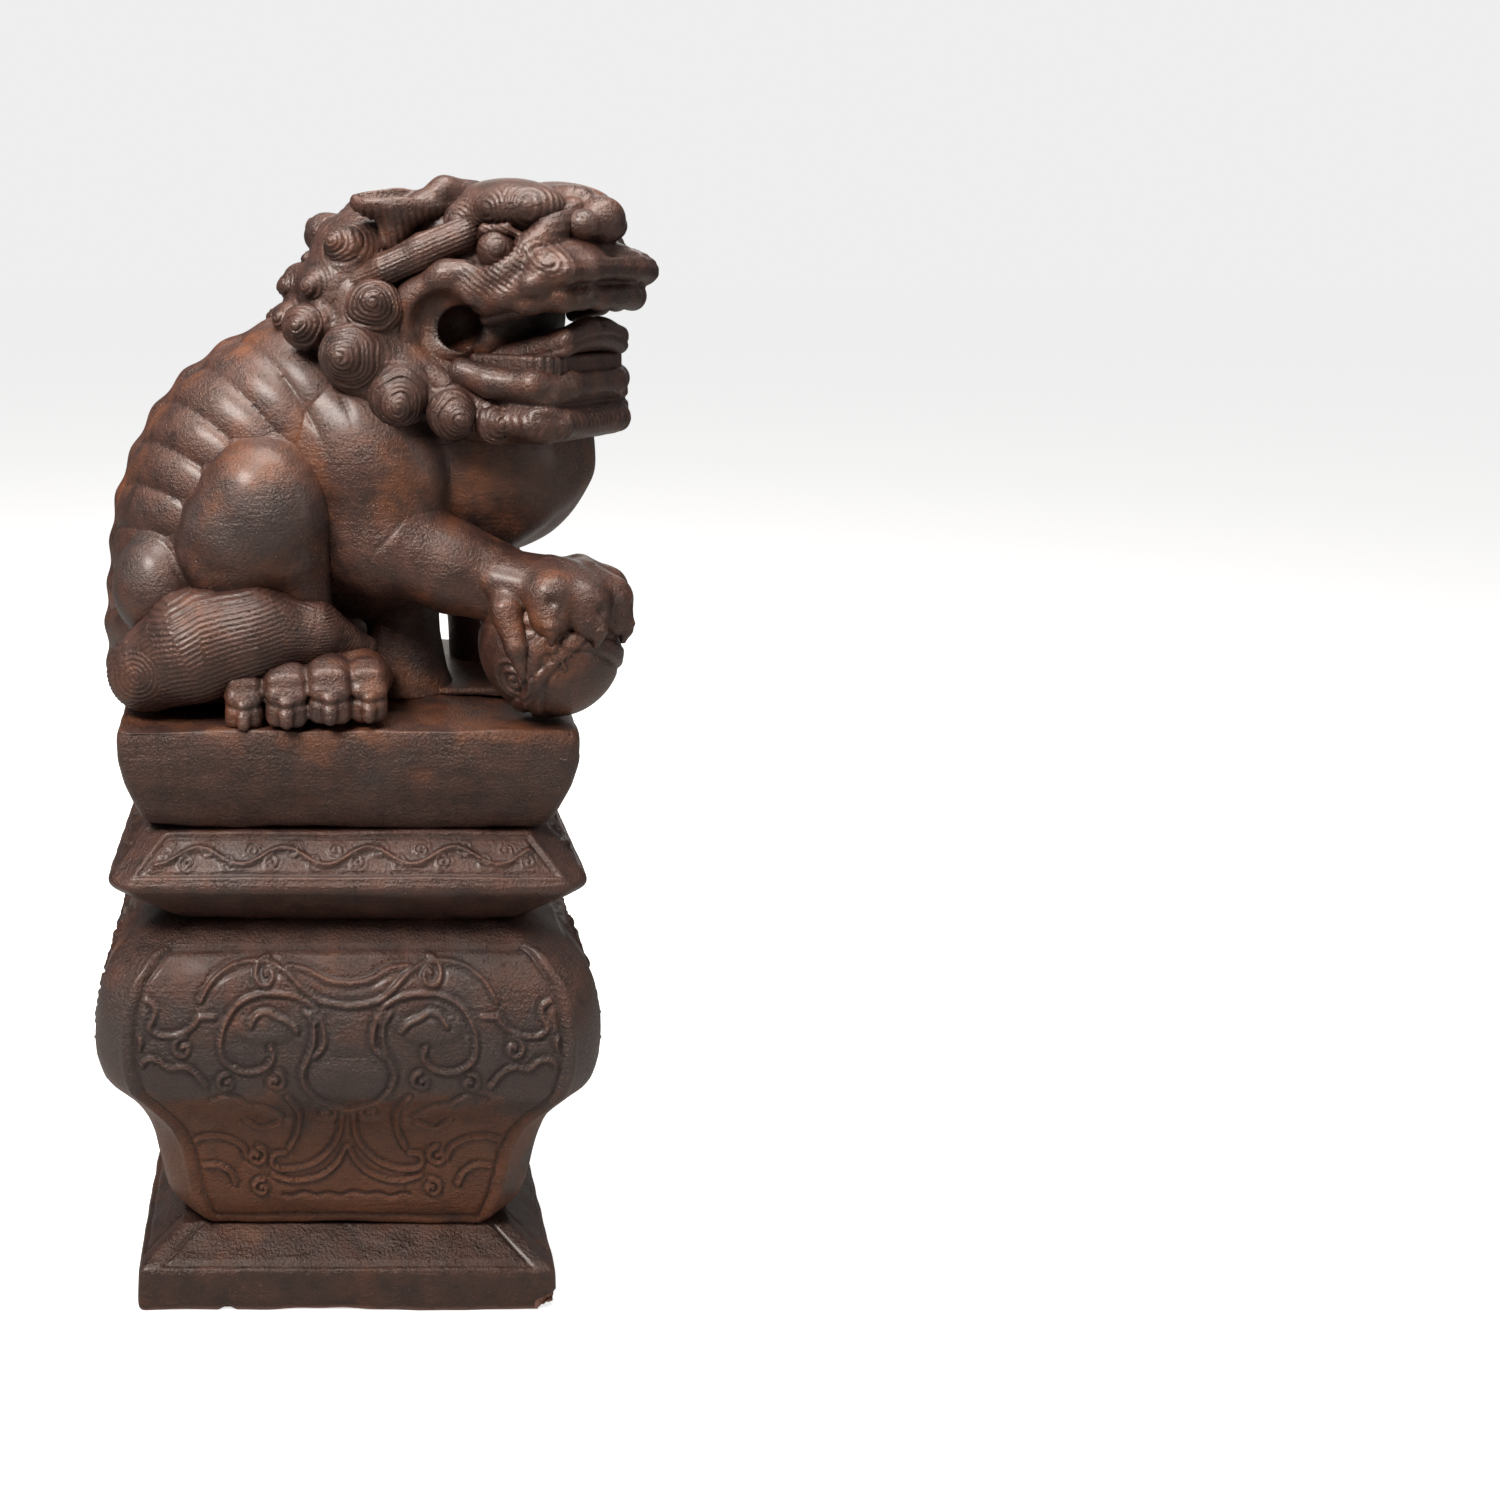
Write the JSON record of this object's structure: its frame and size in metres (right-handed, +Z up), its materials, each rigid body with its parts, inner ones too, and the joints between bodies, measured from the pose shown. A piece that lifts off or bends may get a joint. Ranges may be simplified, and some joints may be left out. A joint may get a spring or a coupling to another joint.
{
  "type": "guardian lion statue on pedestal",
  "caption": "Guardian lion of brown glazed stoneware, one forepaw on a ball, head turned to its right, seated on a block over a bulging relief pedestal.",
  "frame": {"origin": "centre of the underside of the foot, on the floor", "axes": "+X the way the lion's body faces, +Y the lion's left flank, +Z up"},
  "size_m": [0.5737, 0.398, 1.136],
  "materials": {
    "stoneware": "satin",
    "oak": "matte"
  },
  "bodies": {
    "root": {"foot": "stoneware", "pedestal_body": "stoneware", "waist_moulding": "stoneware", "plinth_block": "stoneware", "setting_pins": "oak", "figure_bat": "stoneware", "torso": "stoneware", "mane_collar": "stoneware", "head_shell": "stoneware", "nose": "stoneware", "lower_jaw": "stoneware", "tongue": "stoneware", "upper_teeth": "stoneware", "lower_teeth": "stoneware", "right_eye": "stoneware", "left_eye": "stoneware", "right_brow": "stoneware", "left_brow": "stoneware", "right_ear": "stoneware", "left_ear": "stoneware", "right_cheek_lock": "stoneware", "left_cheek_lock": "stoneware", "right_mane_curls": "stoneware", "left_mane_curls": "stoneware", "nape_curls": "stoneware", "right_haunch": "stoneware", "left_haunch": "stoneware", "right_hind_paw": "stoneware", "left_hind_paw": "stoneware", "right_upper_arm": "stoneware", "right_forearm": "stoneware", "right_forepaw": "stoneware", "left_upper_arm": "stoneware", "left_foreleg": "stoneware", "left_forepaw": "stoneware", "belly_strut": "stoneware", "tail": "stoneware", "ball": "stoneware"}
  },
  "joints": []
}
